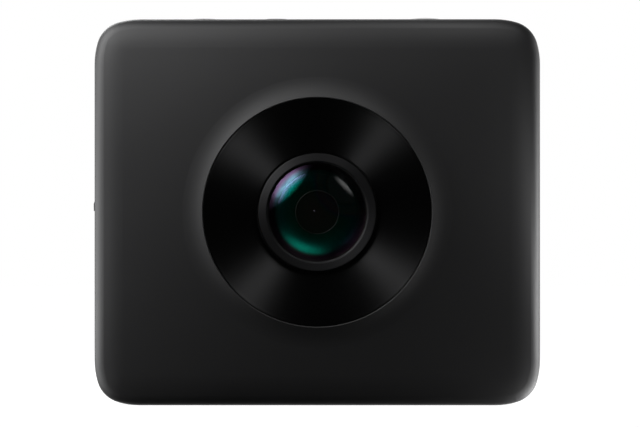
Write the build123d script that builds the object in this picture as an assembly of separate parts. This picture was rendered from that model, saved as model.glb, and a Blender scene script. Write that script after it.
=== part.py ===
from build123d import *
from math import acos, cos, radians, sin, sqrt
import os

# A 360 degree camera: a slim casing with two fisheye lenses set back to back, in millimetres.
# The origin is the mouth of the tripod socket, in the middle of the underside. +Z is up, +X is to the
# right of someone who faces the camera, and the front lens looks along -Y.
# A "level" is a distance from the mid-plane between the two faces, measured outwards.

# Casing
body_width = 78.0
body_height = 67.6
depth_over_domes = 24.0
face_level = 7.4
skin = 1.2
corner_easy_radius = 13.6
corner_tight_radius = 5.24
corner_easy_turn = 16.2
edge_tight_radius = 2.2
edge_easy_radius = 14.0
edge_easy_turn = 14.0
inner_edge_chamfer = 0.6
band_level = 4.6
band_wall = 1.4
seam_chamfer = 0.12
overrun = 1.0

# Raised lip and pocket for the dish
lip_rise = 0.8
lip_width = 3.5
lip_edge = 0.15
web_level = 5.0
web_thickness = 0.7
pocket_wall = 1.2
ledge_width = 0.7

# Dish
dish_radius = 19.9
dish_clearance = 0.1
dish_thickness = 0.6
dish_rim_drop = 0.2
dish_rim_width = 0.45
dish_rim_rise = 0.1
dish_foot_width = 0.75
dish_ring_gap = 0.35

# Lens ring, outer element and its seal
ring_radius = 10.3
ring_level = 7.3
ring_bore_gap = 0.04
ring_bevel = 0.3
ring_engagement = 0.7
ring_skirt_wall = 0.85
web_bore_clearance = 0.1
dome_radius = 9.7
dome_wall = 1.0
dome_seat_level = 5.8
dome_flange_thickness = 0.9
dome_edge_clearance = 0.1
seal_width = 1.0
seal_thickness = 0.5
seal_clearance = 0.05

# Lens barrel and second element
baffle_lip_thickness = 0.25
bowl_radius = 6.4
second_radius = 4.3
second_edge_thickness = 0.5
second_clear_radius = 3.85
second_cap_rise = 0.9
second_cap_gap = 0.05

# Optical block, prisms, relay lenses and sensors
carrier_level = 2.9
carrier_half_width = 8.2
prism_leg = 5.0
prism_gap = 0.05
light_path_radius = 2.2
relay_radius = 2.4
relay_length = 4.2
relay_gap = 0.5
sensor_height = 7.2
sensor_width = 5.4
sensor_thickness = 1.2
sensor_window_depth = 0.3
flex_thickness = 0.2
flex_level = 2.5
front_flex_rise = 9.0
front_flex_width = 3.0
flex_clearance = 0.3
ear_height = 2.4
ear_thickness = 2.0
ear_end_gap = 0.2

# Middle frame
rib_clearance = 0.9
rib_thickness = 1.6
post_half_width = 2.0
shell_screw_inset = 2.9
shell_screw_turn = 60.0
lug_width = 2.2
flex_slot_level = 1.8
rail_thickness = 1.6
rail_height = 14.0
board_boss_width = 3.6
board_boss_thickness = 2.2
upper_boss_gap = 2.4

# Gaskets between the shells and the middle frame
gasket_width = 0.6
gasket_depth = 0.3

# Screws: shells, boards, optical block and tripod socket
shell_screw_radius = 0.7
shell_screw_length = 3.0
shell_screw_head_radius = 1.3
shell_screw_head_height = 0.5
small_screw_radius = 0.45
small_screw_length = 1.8
small_screw_head_radius = 0.95
small_screw_head_height = 0.45
socket_screw_length = 2.6
screw_hole_clearance = 0.05

# Button tray, board and switches
tray_thickness = 0.8
tray_drop = 6.0
tray_half_length = 25.4
tray_end_wall = 0.8
tray_slot_level = 3.5
button_board_thickness = 0.8
button_board_clearance = 0.1
switch_side = 3.4
switch_height = 1.5
switch_bore_depth = 1.0
plunger_radius = 0.84
plunger_height = 1.0
running_clearance = 0.06

# Buttons, measured from the top of the casing
small_button_radius = 2.1
shutter_button_radius = 3.15
small_button_rise = 0.17
shutter_button_rise = 0.42
small_button_edge = 0.12
shutter_edge_height = 0.1
power_button_x = -19.9
wifi_button_x = -7.3
shutter_button_x = 19.0
button_flange_gap = 0.05
button_flange_width = 0.5
button_flange_thickness = 0.7
button_stem_radius = 1.0

# Microphone and status light
microphone_x = -14.9
microphone_length = 3.0
microphone_width = 2.2
microphone_height = 1.1
microphone_hole_radius = 0.35
light_x = 5.4
light_radius = 0.6
light_clearance = 0.05
light_base_radius = 1.2
light_base_height = 0.6

# Side door, its hinge and bay
door_top_drop = 5.9
door_length = 27.7
door_width = 7.1
door_thickness = 1.2
door_recess = 0.13
door_corner_radius = 1.0
nub_rise = 0.33
nub_ramp = 1.05
nub_flat = 1.25
bay_clearance = 0.15
bay_foot_gap = 0.45
bay_depth = 3.0
bay_floor = 0.8
bay_end_wall = 0.8
hinge_pin_radius = 0.5
hinge_clearance = 0.05
hinge_pin_inset = 0.4
door_gasket_width = 0.8
door_gasket_inset = 0.6
door_gasket_gap = 0.1
door_gasket_top_drop = 3.7
door_gasket_foot = 2.6

# Main board and what it carries
board_level = 1.2
board_thickness = 0.8
board_edge_gap = 0.3
board_foot = 8.2
board_top_drop = 9.2
connector_length = 2.8
shield_height = 16.0
shield_thickness = 1.6
shield_card_lap = 0.4
shield_edge_gap = 5.0
shield_connector_gap = 1.9
usb_width = 7.5
usb_thickness = 2.6
usb_length = 5.2
usb_wall = 0.3
usb_tongue_width = 3.6
usb_tongue_thickness = 0.5
usb_drop = 14.1
card_width = 12.4
card_thickness = 1.5
card_length = 13.6
card_wall = 0.35
card_drop = 25.6
window_clearance = 0.1

# Battery
battery_gap = 0.4
battery_edge_gap = 2.0
battery_foot = 8.5
battery_top_gap = 2.3
battery_corner_radius = 1.5
tape_thickness = 0.2
tape_width = 6.0
tape_height = 24.0
lead_width = 2.4
lead_thickness = 0.3
lead_rise = 1.2
lead_slot = 1.4
lead_bend_radius = 0.6
lead_plug_height = 2.4
lead_plug_thickness = 1.8
lead_plug_gap = 0.4

# Speaker and antenna
speaker_length = 11.0
speaker_height = 3.5
speaker_width = 6.8
speaker_slot_length = 6.0
speaker_slot_width = 0.9
antenna_length = 20.0
antenna_height = 2.5
antenna_thickness = 0.15
antenna_edge_gap = 5.6
antenna_side_gap = 5.0

# Tripod socket, for a quarter inch thread
socket_bore_radius = 2.55
socket_bore_length = 6.0
socket_radius = 3.9
socket_plate_length = 15.2
socket_plate_width = 6.8
socket_plate_thickness = 2.0
socket_screw_x = 5.9
socket_boss_height = 5.0
socket_boss_wall = 0.6

# Places worked out from the sizes above
half_width = body_width / 2
half_height = body_height / 2
lens_height = half_height
ceiling_level = face_level - skin
lip_level = face_level + lip_rise
lip_radius = (lip_width**2 + lip_rise**2) / (2 * lip_rise)
web_top = web_level + web_thickness
pocket_radius = dish_radius + dish_clearance
dish_bore = ring_radius + dish_ring_gap
dish_top = lip_level - dish_rim_drop
ledge_top = dish_top - dish_thickness
dome_apex = depth_over_domes / 2
dome_centre = dome_apex - dome_radius
dome_flange_top = dome_seat_level + dome_flange_thickness
dome_waist = sqrt(dome_radius**2 - (dome_flange_top - dome_centre) ** 2)
hollow_radius = dome_radius - dome_wall
hollow_foot = sqrt(hollow_radius**2 - (dome_seat_level - dome_centre) ** 2)
barrel_flange_radius = ring_radius - ring_skirt_wall
dome_flange_radius = barrel_flange_radius - dome_edge_clearance
rib_inner = ring_radius + rib_clearance
rib_centre = rib_inner + rib_thickness / 2
rib_outer = rib_inner + rib_thickness
screw_circle = dish_radius - shell_screw_inset
post_x = screw_circle * cos(radians(shell_screw_turn))
post_z = screw_circle * sin(radians(shell_screw_turn))
top_wall_under = body_height - band_wall
tray_top = body_height - tray_drop
tray_under = tray_top - tray_thickness
button_board_top = tray_top + button_board_thickness
door_top = body_height - door_top_drop
door_foot = door_top - door_length
pivot_x = -half_width + door_recess + door_thickness
pivot_z = door_top - door_thickness
bay_floor_x = -half_width + bay_depth
bay_inner_x = bay_floor_x + bay_floor
bay_half_width = door_width / 2 + bay_clearance
board_left = bay_inner_x + board_edge_gap
board_right = -rib_outer - battery_gap
board_top = body_height - board_top_drop
board_back = board_level + board_thickness
battery_left = rib_outer + battery_gap
battery_right = half_width - band_wall - battery_edge_gap
battery_top = tray_under - battery_top_gap
sensor_back = carrier_half_width + sensor_thickness
ear_z = carrier_half_width + ear_height / 2
ear_screw_x = rib_inner - lug_width / 2
ear_top = -carrier_level + ear_thickness
front_flex_top = front_flex_rise + front_flex_width
upper_boss_height = lens_height + front_flex_top + upper_boss_gap + board_boss_width / 2
plug_right = -rib_centre - board_boss_width - lead_plug_gap

# Each lens looks along the local Z of its own frame, and local Y is up.
front_frame = Plane(origin=(0, 0, lens_height), x_dir=(1, 0, 0), z_dir=(0, -1, 0)).location
rear_frame = Plane(origin=(0, 0, lens_height), x_dir=(-1, 0, 0), z_dir=(0, 1, 0)).location
on_top = Pos(0, 0, body_height)


def cylinder(radius, low, high):
    """A cylinder on the Z axis between two heights."""
    return Pos(0, 0, low) * extrude(Circle(radius), high - low)


def tube(outer, inner, low, high):
    """A round tube on the Z axis between two heights."""
    return Pos(0, 0, low) * extrude(Circle(outer) - Circle(inner), high - low)


def block(x, y, z):
    """A box between two places on each axis."""
    size = [high - low for low, high in (x, y, z)]
    middle = [(low + high) / 2 for low, high in (x, y, z)]
    return Pos(*middle) * Box(*size)


def turned(*edges):
    """The solid turned round the Z axis by a closed outline of radii and heights."""
    return revolve(Plane.XZ * make_face(edges), Axis.Z)


def corner_arcs(side_x, side_y, inset):
    """The three tangent arcs of one casing corner: easy, tight, easy."""
    turn = radians(corner_easy_turn)
    quarter = radians(90)
    step = corner_easy_radius - corner_tight_radius
    reach = corner_reach()
    easy, tight = corner_easy_radius - inset, corner_tight_radius - inset
    top = (half_width - reach, half_height - corner_easy_radius)
    side = (half_width - corner_easy_radius, half_height - reach)
    middle = (top[0] + step * sin(turn), top[1] + step * cos(turn))

    def arc(centre, radius, start, end):
        points = [
            (side_x * (centre[0] + radius * cos(angle)), side_y * (centre[1] + radius * sin(angle)))
            for angle in (start, (start + end) / 2, end)
        ]
        return ThreePointArc(*points)

    return [
        arc(top, easy, quarter, quarter - turn),
        arc(middle, tight, quarter - turn, turn),
        arc(side, easy, turn, 0),
    ]


def corner_reach():
    """How far along each side a corner's arcs reach."""
    turn = radians(corner_easy_turn)
    step = corner_easy_radius - corner_tight_radius
    return corner_easy_radius - step * (cos(turn) - sin(turn))


def outline(inset=0):
    """The casing's outline seen from a lens, drawn in by an inset."""
    reach = corner_reach()
    run_x, run_y = half_width - reach, half_height - reach
    edges = []
    for side in (-1, 1):
        edges.append(Line((-run_x, side * (half_height - inset)), (run_x, side * (half_height - inset))))
        edges.append(Line((side * (half_width - inset), -run_y), (side * (half_width - inset), run_y)))
        for other in (-1, 1):
            edges += corner_arcs(side, other, inset)
    return make_face(edges)


def inner_outline(inset):
    """The hollow's outline: a rounded rectangle whose corners leave a wall as thick as the sides'."""
    turn = radians(corner_easy_turn)
    step = corner_easy_radius - corner_tight_radius
    tight_centre = corner_easy_radius - step * cos(turn)
    corner_cut = tight_centre * sqrt(2) - corner_tight_radius
    radius = (corner_cut + inset - inset * sqrt(2)) / (sqrt(2) - 1)
    return RectangleRounded(body_width - 2 * inset, body_height - 2 * inset, radius)


def shoulder_cutter():
    """What is cut off a shell's edge: a tight arc from the side that eases into the face."""
    turn = radians(edge_easy_turn)
    tight, easy = edge_tight_radius, edge_easy_radius
    knee = tight * (1 - sin(turn))
    width = knee + easy * sin(turn)
    knee_level = face_level - easy * (1 - cos(turn))
    start_level = knee_level - tight * cos(turn)
    half_turn = (radians(90) - turn) / 2
    first_middle = (tight * (1 - cos(half_turn)), start_level + tight * sin(half_turn))
    second_middle = (width - easy * sin(turn / 2), face_level - easy * (1 - cos(turn / 2)))
    above = face_level + overrun
    outside = [(width, face_level), (width, above), (-overrun, above), (-overrun, start_level)]
    section = make_face(
        [
            ThreePointArc((0, start_level), first_middle, (knee, knee_level)),
            ThreePointArc((knee, knee_level), second_middle, (width, face_level)),
            Polyline(*outside, (0, start_level)),
        ]
    )
    start = Plane(origin=(0, half_height, 0), x_dir=(0, -1, 0), z_dir=(-1, 0, 0))
    return sweep(start * section, path=outline().face().outer_wire())


def raised_lip():
    """The casing's rise to the dish: a hollow curve that meets the face without an edge."""
    inner, outer = pocket_radius, pocket_radius + lip_edge + lip_width
    crest = (inner + lip_edge, lip_level)
    half = acos(1 - lip_rise / lip_radius) / 2
    hollow = (outer - lip_radius * sin(half), face_level + lip_radius * (1 - cos(half)))
    foot = face_level - overrun
    return turned(
        ThreePointArc(crest, hollow, (outer, face_level)),
        Polyline((outer, face_level), (outer, foot), (inner, foot), (inner, lip_level - lip_edge), crest),
    )


def screw_places():
    """The four shell screws' places round a lens, in the lens frame."""
    return [(x * post_x, z * post_z) for x in (-1, 1) for z in (-1, 1)]


def shell():
    """One half of the casing, in the lens frame: skin, lip, dish pocket and screw web."""
    outer = Pos(0, 0, band_level) * extrude(outline(), face_level - band_level)
    outer = chamfer(outer.faces().sort_by(Axis.Z)[0].edges(), seam_chamfer)
    outer = outer - shoulder_cutter() + raised_lip()
    hollow = Pos(0, 0, band_level) * extrude(inner_outline(band_wall), ceiling_level - band_level)
    hollow = chamfer(hollow.faces().sort_by(Axis.Z)[-1].edges(), inner_edge_chamfer)
    hollow -= cylinder(pocket_radius + pocket_wall, web_level, face_level)
    body = outer - hollow
    body -= cylinder(pocket_radius - ledge_width, web_top, ledge_top)
    body -= cylinder(pocket_radius, ledge_top, lip_level + overrun)
    body -= cylinder(ring_radius + web_bore_clearance, web_level - overrun, web_top + overrun)
    hole = cylinder(shell_screw_radius + screw_hole_clearance, band_level, web_top + overrun)
    return body - [Pos(x, z, 0) * hole for x, z in screw_places()]


def gasket_room(height):
    """The step along the band's inner edge that a shell's gasket lies in."""
    ring = inner_outline(band_wall - gasket_width) - inner_outline(band_wall)
    return Pos(0, 0, band_level - gasket_depth) * extrude(ring, height)


def shell_gasket():
    """The flat seal between a shell and the middle frame."""
    return gasket_room(gasket_depth)


def cap_screw(radius, length, head_radius, head_height):
    """A small screw along Z, its head on height zero."""
    return cylinder(radius, -length, 0) + cylinder(head_radius, 0, head_height)


def shell_screws():
    """The four screws that hold one shell, under its dish."""
    head = (shell_screw_head_radius, shell_screw_head_height)
    screw = cap_screw(shell_screw_radius, shell_screw_length, *head)
    return [Pos(x, z, web_top) * screw for x, z in screw_places()]


def dish():
    """The dished disc round a lens: a raised rim, an even slope and a flat foot on the web."""
    slope_end = dish_radius - dish_rim_width
    profile = Polyline(
        (dish_bore, web_top),
        (dish_bore, web_top + dish_thickness),
        (slope_end, dish_top - dish_rim_rise),
        (dish_radius, dish_top),
        (dish_radius, ledge_top),
        (pocket_radius - ledge_width, ledge_top),
        (dish_bore + dish_foot_width, web_top),
        close=True,
    )
    return turned(profile)


def lens_ring():
    """The ring that holds the outer element down: a stepped ring with a bevelled mouth."""
    bore = dome_waist + ring_bore_gap
    skirt_end = dome_seat_level - ring_engagement
    profile = Polyline(
        (bore, dome_flange_top),
        (bore, ring_level - ring_bevel),
        (bore + ring_bevel, ring_level),
        (ring_radius, ring_level),
        (ring_radius, skirt_end),
        (barrel_flange_radius, skirt_end),
        (barrel_flange_radius, dome_flange_top),
        close=True,
    )
    return turned(profile)


def dome():
    """The outer element: an even wall round one centre, with a flat flange under the ring."""
    outer_half = acos((dome_flange_top - dome_centre) / dome_radius) / 2
    inner_half = acos((dome_seat_level - dome_centre) / hollow_radius) / 2
    outer_middle = (dome_radius * sin(outer_half), dome_centre + dome_radius * cos(outer_half))
    inner_middle = (hollow_radius * sin(inner_half), dome_centre + hollow_radius * cos(inner_half))
    hollow_apex = dome_centre + hollow_radius
    return turned(
        ThreePointArc((0, dome_apex), outer_middle, (dome_waist, dome_flange_top)),
        Polyline(
            (dome_waist, dome_flange_top),
            (dome_flange_radius, dome_flange_top),
            (dome_flange_radius, dome_seat_level),
            (hollow_foot, dome_seat_level),
        ),
        ThreePointArc((hollow_foot, dome_seat_level), inner_middle, (0, hollow_apex)),
        Line((0, hollow_apex), (0, dome_apex)),
    )


def dome_seal():
    """The flat seal under the outer element, in the step round the barrel's mouth."""
    outer = barrel_flange_radius - seal_clearance
    return tube(outer, outer - seal_width, dome_seat_level - seal_thickness, dome_seat_level)


def lens_barrel():
    """The barrel: a step for the seal, a hollow bowl and a lip that holds the second element."""
    seat_top = carrier_level + second_edge_thickness
    lip_top = seat_top + baffle_lip_thickness
    step = barrel_flange_radius - seal_clearance - seal_width
    rim, foot = (hollow_foot, dome_seat_level), (second_clear_radius, lip_top)
    return turned(
        RadiusArc(foot, rim, -bowl_radius),
        Polyline(
            rim,
            (step, dome_seat_level),
            (step, dome_seat_level - seal_thickness),
            (barrel_flange_radius, dome_seat_level - seal_thickness),
            (barrel_flange_radius, carrier_level),
            (second_radius, carrier_level),
            (second_radius, seat_top),
            (second_clear_radius, seat_top),
            foot,
        ),
    )


def second_element():
    """The second element: a low domed lens with a flat edge, in the barrel's seat."""
    edge_top = carrier_level + second_edge_thickness
    cap_foot = second_clear_radius - second_cap_gap
    apex = edge_top + second_cap_rise
    cap_radius = (cap_foot**2 + second_cap_rise**2) / (2 * second_cap_rise)
    half = acos(1 - second_cap_rise / cap_radius) / 2
    middle = (cap_radius * sin(half), apex - cap_radius * (1 - cos(half)))
    return turned(
        ThreePointArc((cap_foot, edge_top), middle, (0, apex)),
        Polyline(
            (0, apex),
            (0, carrier_level),
            (second_radius, carrier_level),
            (second_radius, edge_top),
            (cap_foot, edge_top),
        ),
    )


def prism():
    """A right-angle prism in the lens frame: light enters along Z and leaves to local +X."""
    half, gap = prism_leg / 2, prism_gap / 2
    corner = (half, half)
    section = Polyline((-half + gap, half), corner, (half, -half + gap), close=True)
    return extrude(Plane.XZ * make_face(section), prism_leg / 2, both=True)


def relay_lens():
    """The relay lens group beside a prism, as one closed cell."""
    start = prism_leg / 2 + relay_gap
    return Rot(0, 90, 0) * cylinder(relay_radius, start, start + relay_length)


def sensor():
    """An image sensor package on the side of the optical block, with a window towards the relay lens."""
    half_y, half_z = sensor_height / 2, sensor_width / 2
    package = block((carrier_half_width, sensor_back), (-half_y, half_y), (-half_z, half_z))
    depth = (carrier_half_width - overrun, carrier_half_width + sensor_window_depth)
    return package - block(depth, (-relay_radius, relay_radius), (-relay_radius, relay_radius))


def front_sensor_flex():
    """From the right side of the optical block, over it and across to the main board."""
    x = (sensor_back, sensor_back + flex_thickness)
    half_z = sensor_height / 2
    tab = block(x, (-sensor_width / 2, flex_level), (lens_height - half_z, lens_height + half_z))
    past_ear = ear_top + small_screw_head_height + flex_clearance
    tail_z = (lens_height + half_z - flex_clearance, lens_height + front_flex_top)
    tail = block(x, (past_ear, flex_level), tail_z)
    return tab + tail + flex_ribbon(x[1], front_flex_rise, front_flex_top)


def rear_sensor_flex():
    """From the left side of the optical block straight to the main board."""
    half_z = sensor_height / 2
    tab_z = (lens_height - half_z, lens_height + half_z)
    tab = block((-sensor_back - flex_thickness, -sensor_back), (-sensor_width / 2, flex_level), tab_z)
    return tab + flex_ribbon(-sensor_back, -half_z, half_z)


def flex_ribbon(right, low, high):
    """The flat stretch of a flex behind the optical block, which ends on the board's connector."""
    left = board_right - connector_length
    return block(
        (left, right), (flex_level, flex_level + flex_thickness), (lens_height + low, lens_height + high)
    )


def lens_carrier():
    """The block that holds both folded light paths, with an ear along its top and its foot."""
    half = carrier_half_width
    body = block((-half, half), (-carrier_level, carrier_level), (-half, half))
    room = prism_leg / 2 + prism_gap
    body -= block((-room, room), (-room, room), (-room, room))
    body -= Rot(90, 0, 0) * cylinder(light_path_radius, -carrier_level - overrun, carrier_level + overrun)
    body -= Rot(0, 90, 0) * cylinder(relay_radius, -half - overrun, half + overrun)
    ear_half = rib_inner - ear_end_gap
    for side in (-1, 1):
        ends = sorted((side * half, side * (half + ear_height)))
        body += block((-ear_half, ear_half), (-carrier_level, ear_top), ends)
    hole = Rot(90, 0, 0) * cylinder(small_screw_radius + screw_hole_clearance, -overrun, 2 * carrier_level)
    body = Pos(0, 0, lens_height) * body
    return body - [Pos(x, 0, z) * hole for x, z in ear_screw_places()]


def ear_screw_places():
    """Where the optical block is screwed down: one corner at the top and the one across from it."""
    return [(side * ear_screw_x, lens_height - side * ear_z) for side in (-1, 1)]


def small_screw(length=small_screw_length):
    """A board screw along Z, its head on height zero."""
    return cap_screw(small_screw_radius, length, small_screw_head_radius, small_screw_head_height)


def facing_rear(shape):
    """Turns a shape drawn along Z so that it faces the rear, +Y."""
    return Rot(-90, 0, 0) * shape


def lens_carrier_screws():
    """The two screws through the ears into the frame's lugs."""
    screw = facing_rear(small_screw(ear_thickness + small_screw_length / 2))
    return [Pos(x, ear_top, z) * screw for x, z in ear_screw_places()]


def board_screw_places():
    """Where screws hold the main board: one on the lower rail and one on the upper boss."""
    return [
        (board_left + board_boss_width, rail_height),
        (board_right + battery_gap - board_boss_width / 2, upper_boss_height),
    ]


def board_screws():
    """The screws of the main board and of the button board, all alike."""
    main = facing_rear(small_screw())
    screws = [Pos(x, board_back, z) * main for x, z in board_screw_places()]
    screws += [Pos(side * rib_centre, 0, button_board_top) * small_screw() for side in (-1, 1)]
    return screws


def door_bay():
    """The room cut for the side door, with rounded corners at its foot."""
    foot = door_foot - bay_foot_gap
    top = door_top + bay_clearance
    corner = door_corner_radius + bay_clearance
    height = top - foot
    room = block(
        (-half_width - overrun, bay_floor_x), (-bay_half_width, bay_half_width), (foot, top)
    )
    edges = room.edges().filter_by(Axis.X).group_by(Axis.Z)[0]
    return fillet(edges, min(corner, height / 2))


def socket_windows():
    """The openings in the bay's floor for the two sockets."""
    depth = (bay_floor_x - overrun, bay_inner_x + overrun)
    windows = []
    for width, thickness, z in (
        (usb_width, usb_thickness, usb_height()),
        (card_width, card_thickness, card_height()),
    ):
        half = width / 2 + window_clearance
        level = (board_level - thickness - window_clearance, board_level + window_clearance)
        windows.append(block(depth, level, (z - half, z + half)))
    return windows


def usb_height():
    """The height of the USB socket's middle."""
    return body_height - usb_drop


def card_height():
    """The height of the card socket's middle."""
    return body_height - card_drop


def rib(side):
    """One upright wall beside the lenses, with the slots that flexes and the battery lead pass through."""
    x = sorted((side * rib_inner, side * rib_outer))
    wall = block(x, (-band_level, band_level), (band_wall, top_wall_under))
    wall -= block(x, (-tray_slot_level, tray_slot_level), (tray_top, top_wall_under))
    slot_top = tray_under - lead_rise / 2
    wall -= block(x, (-lead_slot, lead_slot), (slot_top - lead_slot, slot_top))
    if side < 0:
        low = lens_height - sensor_height / 2 - flex_thickness
        high = lens_height + front_flex_top + flex_thickness
        wall -= block(x, (flex_slot_level, band_level), (low, high))
    return wall


def posts_and_bars():
    """The four posts that take the shell screws from both sides, with the bars between the ribs."""
    pieces = []
    for side in (-1, 1):
        z = lens_height + side * post_z
        half = rib_thickness / 2
        pieces.append(block((-rib_outer, rib_outer), (-band_level, band_level), (z - half, z + half)))
    half = post_half_width
    for x, z in screw_places():
        middle = lens_height + z
        pieces.append(block((x - half, x + half), (-web_level, web_level), (middle - half, middle + half)))
    return pieces


def carrier_lugs():
    """The four lugs in the corners between the ribs, which the optical block's ears rest on."""
    pieces = []
    for side in (-1, 1):
        for end in (-1, 1):
            x = sorted((side * (rib_inner - lug_width), side * (rib_inner + rib_thickness / 2)))
            middle = lens_height + end * ear_z
            half = ear_height / 2
            pieces.append(block(x, (-band_level, -carrier_level), (middle - half, middle + half)))
    return pieces


def board_rests():
    """The lower rail and the upper boss that the main board is screwed to."""
    half = rail_thickness / 2
    rail_x = (-half_width + band_wall / 2, -rib_centre)
    rail = block(rail_x, (-band_level, board_level), (rail_height - half, rail_height + half))
    half = board_boss_width / 2
    boss_z = (upper_boss_height - half, upper_boss_height + half)
    boss_x = (-rib_centre - board_boss_width, -rib_centre)
    return [rail, block(boss_x, (board_level - board_boss_thickness, board_level), boss_z)]


def button_tray():
    """The shelf under the button board and its two end walls."""
    shelf = block((-tray_half_length, tray_half_length), (-band_level, band_level), (tray_under, tray_top))
    walls = []
    for side in (-1, 1):
        x = sorted((side * (tray_half_length - tray_end_wall), side * tray_half_length))
        walls.append(block(x, (-band_level, band_level), (tray_under, top_wall_under)))
    return [shelf] + walls


def door_bay_walls():
    """The walls round the door's bay, before the bay is cut."""
    foot = door_foot - bay_foot_gap - bay_end_wall
    top = door_top + bay_clearance + bay_end_wall
    return block((-half_width + band_wall / 2, bay_inner_x), (-band_level, band_level), (foot, top))


def mid_frame():
    """The band between the shells, with ribs, posts, lugs, rails, button tray, bay and socket boss."""
    upright = Pos(0, 0, lens_height) * Rot(90, 0, 0)
    band = extrude(outline(), band_level, both=True)
    ends = band.faces().sort_by(Axis.Z)
    band = chamfer(ends[0].edges() + ends[-1].edges(), seam_chamfer)
    frame = upright * (band - extrude(inner_outline(band_wall), band_level, both=True))
    pieces = [rib(-1), rib(1), door_bay_walls(), socket_boss()]
    pieces += posts_and_bars() + carrier_lugs() + board_rests() + button_tray()
    frame = frame + pieces
    frame = frame & (upright * extrude(outline(), web_level, both=True))
    cuts = [door_bay()] + socket_windows()
    cuts.append(cylinder(socket_radius, -overrun, socket_boss_height + overrun))
    cuts += [lens_frame * gasket_room(overrun) for lens_frame in (front_frame, rear_frame)]
    cuts += screw_bores() + top_holes() + [speaker_slot(), door_hinge_pin()]
    return frame - cuts


def socket_boss():
    """The block on the bottom wall that the tripod socket sits in."""
    half = socket_plate_length / 2 + socket_boss_wall
    return block((-half, half), (-band_level, band_level), (band_wall / 2, socket_boss_height))


def screw_bores():
    """The bores that the screws are driven into, each as deep as its screw."""
    bores = []
    shell_bore = cylinder(shell_screw_radius, web_top - shell_screw_length, web_top)
    for frame in (front_frame, rear_frame):
        bores += [frame * (Pos(x, z, 0) * shell_bore) for x, z in screw_places()]
    board_bore = facing_rear(cylinder(small_screw_radius, -small_screw_length, 0))
    bores += [Pos(x, board_back, z) * board_bore for x, z in board_screw_places()]
    ear_depth = ear_thickness + small_screw_length / 2
    ear_bore = facing_rear(cylinder(small_screw_radius, -ear_depth, 0))
    bores += [Pos(x, ear_top, z) * ear_bore for x, z in ear_screw_places()]
    top_bore = cylinder(small_screw_radius, -small_screw_length, 0)
    socket_bore = cylinder(small_screw_radius, -socket_screw_length, overrun)
    for side in (-1, 1):
        bores.append(Pos(side * rib_centre, 0, button_board_top) * top_bore)
        bores.append(Pos(side * socket_screw_x, 0, socket_boss_height) * socket_bore)
    return bores


def top_holes():
    """The holes in the top for the buttons, the microphone and the status light."""
    low, high = -band_wall - overrun, overrun
    holes = []
    for x, radius in (
        (power_button_x, small_button_radius + running_clearance),
        (wifi_button_x, small_button_radius + running_clearance),
        (shutter_button_x, shutter_button_radius + running_clearance),
        (microphone_x, microphone_hole_radius),
        (light_x, light_radius),
    ):
        holes.append(on_top * Pos(x, 0, 0) * cylinder(radius, low, high))
    return holes


def speaker_slot():
    """The slot in the underside that the speaker sounds through."""
    slot = extrude(SlotOverall(speaker_slot_length, speaker_slot_width), band_wall + overrun, both=True)
    return Pos(speaker_place(), 0, 0) * slot


def door_hinge_pin():
    """The pin that the side door turns on."""
    reach = band_level - hinge_pin_inset
    return Pos(pivot_x, 0, pivot_z) * Rot(90, 0, 0) * cylinder(hinge_pin_radius, -reach, reach)


def side_door():
    """The door over the sockets: a plate with a round knuckle at its top and a nail nub at its foot."""
    face = -half_width + door_recess
    nub = face - nub_rise
    nub_start = door_foot + nub_flat
    plate = make_face(
        Polyline(
            (face, pivot_z),
            (face, nub_start + nub_ramp),
            (nub, nub_start),
            (nub, door_foot),
            (pivot_x, door_foot),
            (pivot_x, pivot_z),
            close=True,
        )
    )
    section = plate + Pos(pivot_x, pivot_z) * Circle(door_thickness)
    door = extrude(Plane.XZ * section, door_width / 2, both=True)
    corners = door.edges().filter_by(Axis.X).group_by(Axis.Z)[0]
    door = fillet(corners, door_corner_radius)
    bore = Rot(90, 0, 0) * cylinder(hinge_pin_radius + hinge_clearance, -door_width, door_width)
    return door - Pos(pivot_x, 0, pivot_z) * bore


def door_gasket():
    """The seal on the door's inner face, a rounded frame that presses round both sockets."""
    half = door_width / 2 - door_gasket_inset
    low, high = door_foot + door_gasket_foot, door_top - door_gasket_top_drop
    outer = RectangleRounded(high - low, 2 * half, half / 2)
    inner_half = half - door_gasket_width
    inner = RectangleRounded(high - low - 2 * door_gasket_width, 2 * inner_half, inner_half / 2)
    reach = bay_floor_x - door_gasket_gap - pivot_x
    ring = extrude(outer - inner, reach)
    return Pos(pivot_x, 0, (low + high) / 2) * Rot(0, 90, 0) * ring


def button_cap(radius, rise, edge):
    """A flat-topped push button: cap, flange inside the casing and stem, from the top of the casing."""
    cap = cylinder(radius, flange_top(), rise)
    cap = chamfer(cap.faces().sort_by(Axis.Z)[-1].edges(), edge)
    return cap + button_foot(radius)


def domed_button_cap(radius, rise, edge_height):
    """A push button with a shallow domed top."""
    bulge = rise - edge_height
    dome_curve = (radius**2 + bulge**2) / (2 * bulge)
    half = acos(1 - bulge / dome_curve) / 2
    middle = (dome_curve * sin(half), rise - dome_curve * (1 - cos(half)))
    cap = turned(
        ThreePointArc((0, rise), middle, (radius, edge_height)),
        Polyline((radius, edge_height), (radius, flange_top()), (0, flange_top()), (0, rise)),
    )
    return cap + button_foot(radius)


def flange_top():
    """The height of a button's flange below the top of the casing."""
    return -band_wall - button_flange_gap


def stem_foot():
    """The height at which a button's stem meets the switch plunger, below the top of the casing."""
    switch_top = button_board_top + switch_height - body_height
    return switch_top + plunger_height - switch_bore_depth / 2 + running_clearance


def button_foot(radius):
    """The flange that keeps a button in the casing, and its stem."""
    top = flange_top()
    flange = cylinder(radius + button_flange_width, top - button_flange_thickness, top)
    return flange + cylinder(button_stem_radius, stem_foot(), top)


def switch_plunger():
    """The plunger that a button pushes into its switch."""
    return cylinder(plunger_radius, stem_foot() - plunger_height, stem_foot())


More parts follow.
